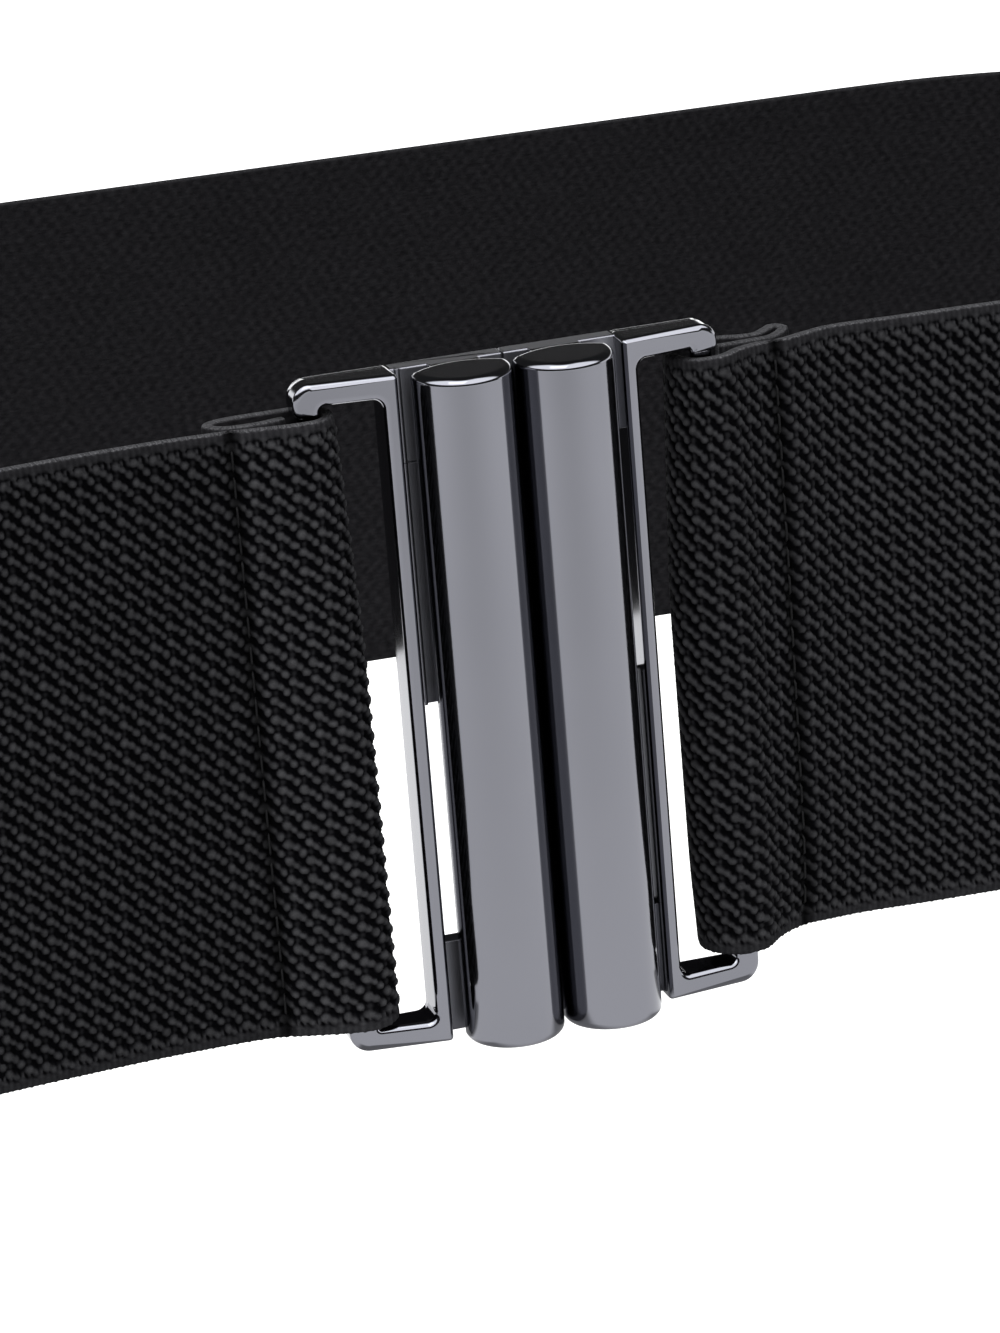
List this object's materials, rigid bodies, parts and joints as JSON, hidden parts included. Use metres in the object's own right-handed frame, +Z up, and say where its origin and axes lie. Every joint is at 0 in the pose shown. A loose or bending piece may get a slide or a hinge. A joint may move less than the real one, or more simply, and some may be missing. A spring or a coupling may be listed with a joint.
{
  "type": "elastic stretch belt",
  "caption": "Wide elastic stretch belt in near-black twill webbing, fastened into a loop by an interlocking polished gunmetal clasp.",
  "frame": {"origin": "under the middle of the whole belt's bounding box, on the surface that it stands on", "axes": "+X along the belt's length from the left half of the buckle to the right half as seen from the front, +Y from the buckle at the front to the back run, +Z up across the webbing's width"},
  "size_m": [0.2722, 0.128, 0.0666],
  "materials": {
    "webbing": "matte twill elastic webbing, near-black",
    "gunmetal": "polished dark gunmetal plating"
  },
  "bodies": {
    "root": {"elastic_band": "webbing", "left_buckle_half": "gunmetal", "right_buckle_half": "gunmetal"}
  },
  "joints": []
}
